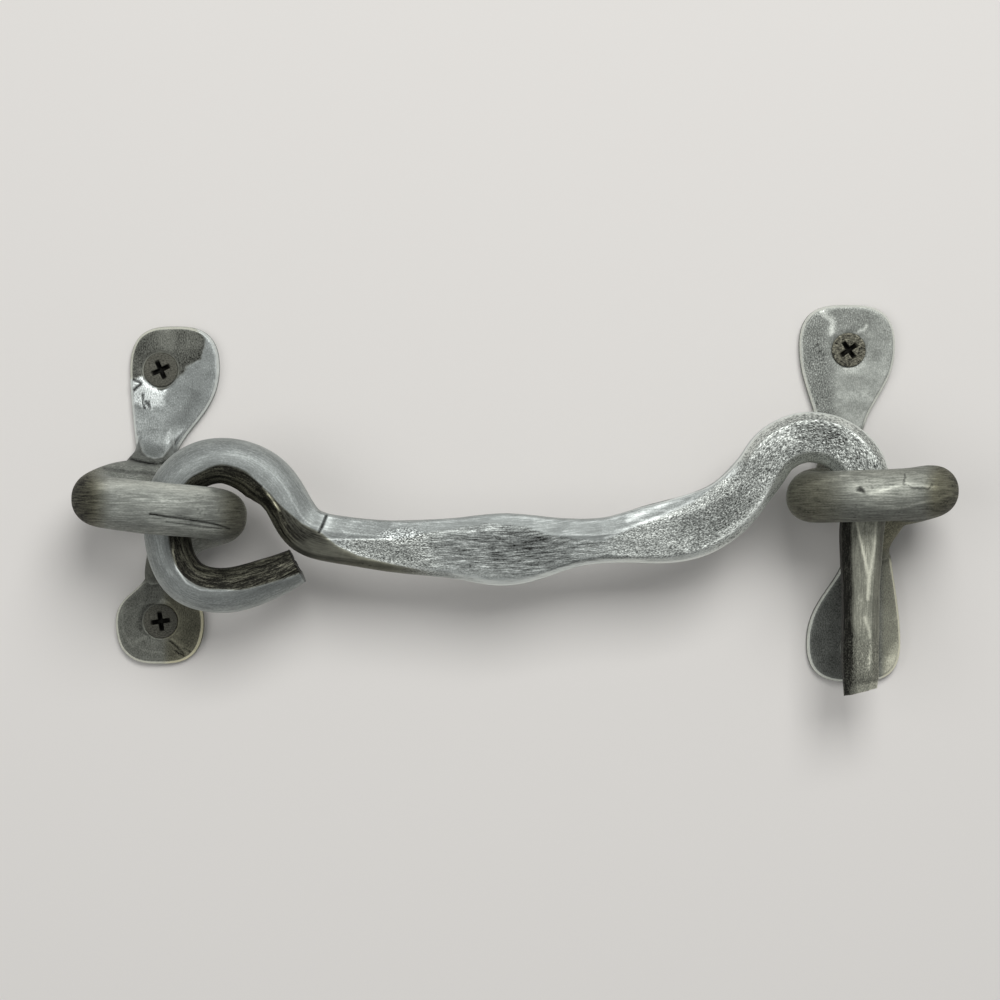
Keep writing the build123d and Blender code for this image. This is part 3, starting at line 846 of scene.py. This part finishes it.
def paint_right(points, pixels):
    """Marks of the right staple: how flat it is, its marks' height, shade, finish and warmth."""
    x, y = pixels.T
    wander = wandering(points)
    ragged = pixels + 2.2 * wander
    ragged_points = points + 0.3 * wander[:, [0, 1, 0]]
    leaf = step(points[:, 1], -6, -3.2)
    ring_front = step(-points[:, 1], 22, 30)
    upper = leaf * (1 - step(y, 440, 470))
    lower = step(y, 517, 523) * step(points[:, 1], -14, -11)
    # Upper leaf: light rays above the screw, a pitted left side and a smooth lower part
    rays = line(ragged, [(821, 312), (833.6, 322), (832, 332)], 3.0)
    rays += 0.9 * line(ragged, [(866, 325), (860, 334)], 2.0)
    left_side = 1 - step(x - 0.12 * (y - 330), 818, 832)
    cap = spot(ragged, 850, 316, 24, 14, 0, 0.5)
    smooth = patch(pixels, [(837, 372), (878, 360), (890, 345), (882, 400), (866, 440), (830, 440)], 4)
    blemish = 1 - step(dimples(ragged_points, (1.5, 1.5, 1.5), 43), 0.10, 0.34)
    blemish *= step(noise(points, (4, 4, 6), 47, 2), -0.1, 0.5)
    shade = upper * (0.26 * np.minimum(rays, 1) - 0.26 * blemish * (0.25 + left_side))
    shade += upper * (0.06 * smooth - 0.10 * left_side - 0.07 * cap)
    # Lower leaf: painted shade over it, lighter on its right side and in a spot low down
    right_side = step(x, 876, 886)
    shade += lower * (-0.27 + 0.20 * right_side + 0.30 * spot(pixels, 897, 662, 12, 18, 20, 0.5))
    # Ring: a painted highlight across its front with light strokes painted as highlights along it, a dark
    # dent, a shallow bare oblong and painted shade on its ends
    oblong = [(905.6, 474.7), (904.5, 483), (911, 488.5), (929, 487.8), (933.3, 484), (926, 475)]
    outline = line(ragged, oblong[:5], 0.9) * ring_front
    within = patch(pixels, oblong, 1.0) * ring_front
    dent = spot(ragged, 859.5, 489.5, 5, 2.6, 35, 0.5) * ring_front
    strokes = 0.5 * line(ragged, [(838, 471), (856, 485)], 2.2)
    strokes += line(pixels, [(870, 494), (905, 484), (955, 489)], 1.6)
    strokes += line(pixels, [(866, 505), (900, 508), (935, 500), (952, 494)], 1.7)
    strokes += 0.5 * line(pixels, [(800, 488), (835, 478), (855, 470)], 2.2)
    front_highlight = spot(pixels, 893, 484, 58, 17, 0, 0.6) * ring_front
    ends = spot(pixels, 958, 498, 26, 48, 0, 0.5) + 0.5 * spot(pixels, 800, 505, 34, 44, 0, 0.6)
    ring_shade = -0.13 + 0.22 * front_highlight + 0.17 * np.minimum(strokes, 1) * ring_front - 0.22 * ends
    shade += (1 - leaf) * (1 - lower) * ring_shade - 0.18 * outline - 0.40 * dent
    marks = 0.08 * within - 0.10 * outline - 0.25 * dent
    specks = upper * (0.30 + 0.35 * left_side + 0.15 * cap - 0.12 * smooth)
    specks += 0.30 * lower + 0.15 * (1 - leaf)
    finish = np.stack([specks, 0.05 * leaf + 0.45 * (1 - leaf), 0.04 + 0.12 * (1 - leaf)], axis=1)
    warmth = upper * 0.2 + lower * (0.2 + 0.5 * right_side)
    warmth += (1 - leaf) * np.clip(0.35 + ends, 0, 1)
    return leaf, marks, shade, finish, warmth


def make_staple(node, ring, paint):
    """Staple with hammer marks and wear. The paint adds its own marks to height and tone."""
    points, faces = remeshed(node, STAPLE_GAP)
    points = relaxed(points, faces, 3)
    outward = normals(points, faces)
    pixels = picture(points)
    flat, marks, shade, finish, warmth = paint(points, pixels)
    # The metal's lay goes round the ring and straight along the leaves
    x, y, z = points[:, 0] - ring[0], points[:, 1] + STAND_OFF, points[:, 2] - ring[1]
    round_lay = np.stack([np.arctan2(y, x) * 12, np.hypot(x, y), z], axis=1)
    flat_lay = np.stack([points[:, 2], points[:, 0], points[:, 1]], axis=1)
    lay = round_lay + flat[:, None] * (flat_lay - round_lay)
    facing = -outward[:, 1]
    front = step(facing, 0.05, 0.6)
    back = step(points[:, 1], -0.6, -0.1)
    height = 0.09 * noise(points, (8, 8, 8), 5, 2) * (1 - flat) - 0.04 * (1 - flat)
    height += 0.05 * noise(points, (5, 5, 5), 8, 2) * flat * front
    height -= 0.08 * (1 - step(dimples(points, (5, 5, 5), 17), 0.2, 0.7)) * flat * front
    pits = 1 - step(dimples(points, (1.0, 1.0, 1.0), 23), 0.12, 0.42)
    pits *= step(noise(points, (3, 3, 3), 29, 2), -0.1, 0.6)
    height -= 0.04 * pits * (1 - 0.7 * flat)
    height += 0.02 * noise(points, (0.8, 0.8, 0.8), 33, 2) * flat * front
    height += marks * front
    height *= 1 - back
    points = points + outward * height[:, None]
    outward = normals(points, faces)
    # The shade and the brown of the marks stop where the surface faces away
    seen = step(-outward[:, 1], -0.2, 0.2)
    warmth = warmth * (0.4 + 0.6 * seen)
    # A thin bright rim round each leaf: its worn edge, made brighter with a painted highlight
    leaf = step(points[:, 1], -3.4, -2.9)
    rim = leaf * step(np.abs(z), 13, 15) * step(facing, 0.15, 0.35) * (1 - step(facing, 0.80, 0.93))
    tone = 0.47 + 0.07 * wear(points, outward, faces, 4, 0.035)
    tone += 0.05 * wear(points, outward, faces, 30, 0.14)
    tone += shade * seen * (1 - 0.8 * rim) + 0.42 * rim - 0.06 * pits
    finish[:, 0] *= 1 - 0.7 * rim
    make_piece(node, points, faces, "forged_steel", tone, lay, finish, warmth)


def make_screw(node, corroded):
    """Screw with its thread, a rough head and a darker cross. A corroded head is pitted."""
    low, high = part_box(node)
    x, z = 500 * (low.x + high.x), 500 * (low.z + high.z)
    top = low.y * 1000
    points, faces = remeshed(node, SCREW_GAP)
    points = relaxed(points, faces, 1)
    outward = normals(points, faces)
    dx, dz = points[:, 0] - x, points[:, 2] - z
    reach = np.hypot(dx, dz)
    y = points[:, 1]
    none = np.zeros(len(y))
    # Thread: a ridge that winds up the core and fades at its start and at the point
    share = (y / THREAD_PITCH - np.arctan2(dz, dx) / (2 * pi)) % 1
    ridge = 1 - step(np.abs(share - 0.5), 0.0, 0.30)
    thread = THREAD_HEIGHT * ridge * step(y, 7.6, 9.0) * (1 - step(y, 19.0, 22.2))
    head = 1 - step(y, top + 0.2, top + 0.6)
    inward = 0.05 * noise(points, (1.1, 1.1, 1.1), 71, 3) * head * (1 + corroded)
    inward = np.minimum(inward, 0)
    radial = np.stack([dx, none, dz], axis=1) / np.maximum(reach, 0.2)[:, None]
    points = points + outward * inward[:, None] + radial * thread[:, None]
    outward = normals(points, faces)
    recess = step(y, top + 0.15, top + 0.6) * (1 - step(reach, 2.1, 2.5))
    recess *= 1 - step(y, top + 2, top + 2.2)
    pitted = 1 - step(dimples(points, (0.9, 0.9, 0.9), 37), 0.2, 0.5)
    tone = 0.38 + (0.04 + 0.10 * corroded) * wear(points, outward, faces, 5, 0.03)
    tone -= 0.40 * recess + head * np.where(corroded, 0.25 * pitted, 0.08)
    lay = np.stack([dx, dz, y], axis=1)
    finish = np.stack([head * (0.45 + 0.25 * corroded), none, none], axis=1)
    warmth = none + 0.45 + 0.25 * corroded
    make_piece(node, points, faces, "screw_steel", tone, lay, finish, warmth)


make_hook()
make_staple("left_staple", LEFT_RING, paint_left)
make_staple("right_staple", RIGHT_RING, paint_right)
for node in ("left_upper_screw", "left_lower_screw", "right_upper_screw", "right_lower_screw"):
    make_screw(node, corroded=node == "right_upper_screw")

# Pale wall: solid from the front, clear from behind so that the backs of the leaves show.
# It stands a little in front of their backs, so that light reaches them too.
WALL_REACH = 1.6
WALL_FACE = -0.0002
wall_mesh = bpy.data.meshes.new("wall")
corners = [(-1, -1), (1, -1), (1, 1), (-1, 1)]
corners = [(x * WALL_REACH, WALL_FACE, z * WALL_REACH) for x, z in corners]
wall_mesh.from_pydata(corners, [], [(0, 1, 2, 3)])
wall = bpy.data.objects.new("wall", wall_mesh)
bpy.context.scene.collection.objects.link(wall)
plaster = bpy.data.materials.new("plaster")
plaster.use_nodes = True
nodes, link = plaster.node_tree.nodes, plaster.node_tree.links.new
nodes["Principled BSDF"].inputs["Base Color"].default_value = (0.72, 0.70, 0.67, 1)
nodes["Principled BSDF"].inputs["Roughness"].default_value = 0.9
clear = nodes.new("ShaderNodeBsdfTransparent")
side = nodes.new("ShaderNodeNewGeometry")
choice = nodes.new("ShaderNodeMixShader")
link(side.outputs["Backfacing"], choice.inputs["Fac"])
link(nodes["Principled BSDF"].outputs["BSDF"], choice.inputs[1])
link(clear.outputs["BSDF"], choice.inputs[2])
link(choice.outputs["Shader"], nodes["Material Output"].inputs["Surface"])
wall_mesh.materials.append(plaster)

# Camera where the photograph was taken from
lens = bpy.data.cameras.new("camera")
lens.sensor_width = SENSOR
lens.lens = SENSOR * -CAMERA[1] / (1000 * PIXEL)
camera = bpy.data.objects.new("camera", lens)
camera.location = [value * 0.001 for value in CAMERA]
camera.rotation_euler = (pi / 2, 0, 0)
bpy.context.scene.collection.objects.link(camera)
bpy.context.scene.camera = camera

# Every lamp is turned to this place in the middle of the hook, in metres
LIT_PLACE = (0.07, 0, 0)


def lamp(name, place, size, power):
    """Soft square lamp at a place in metres, turned to the hook."""
    data = bpy.data.lights.new(name, "AREA")
    data.size = size
    data.energy = power
    light = bpy.data.objects.new(name, data)
    light.location = place
    x, y, z = np.array(LIT_PLACE) - np.array(place)
    light.rotation_euler = (np.arctan2(np.hypot(x, y), -z), 0, -np.arctan2(x, y))
    bpy.context.scene.collection.objects.link(light)


lamp("key", (0.24, -0.80, 0.46), 0.5, 6.4)
lamp("fill", (-0.50, -0.80, 0.00), 0.6, 1.8)
lamp("rear", (0.10, 0.70, 0.40), 0.6, 5)
world = bpy.data.worlds.new("studio")
world.use_nodes = True
world.node_tree.nodes["Background"].inputs["Color"].default_value = (0.80, 0.81, 0.82, 1)
world.node_tree.nodes["Background"].inputs["Strength"].default_value = 0.32
bpy.context.scene.world = world
bpy.context.scene.view_settings.view_transform = "Standard"
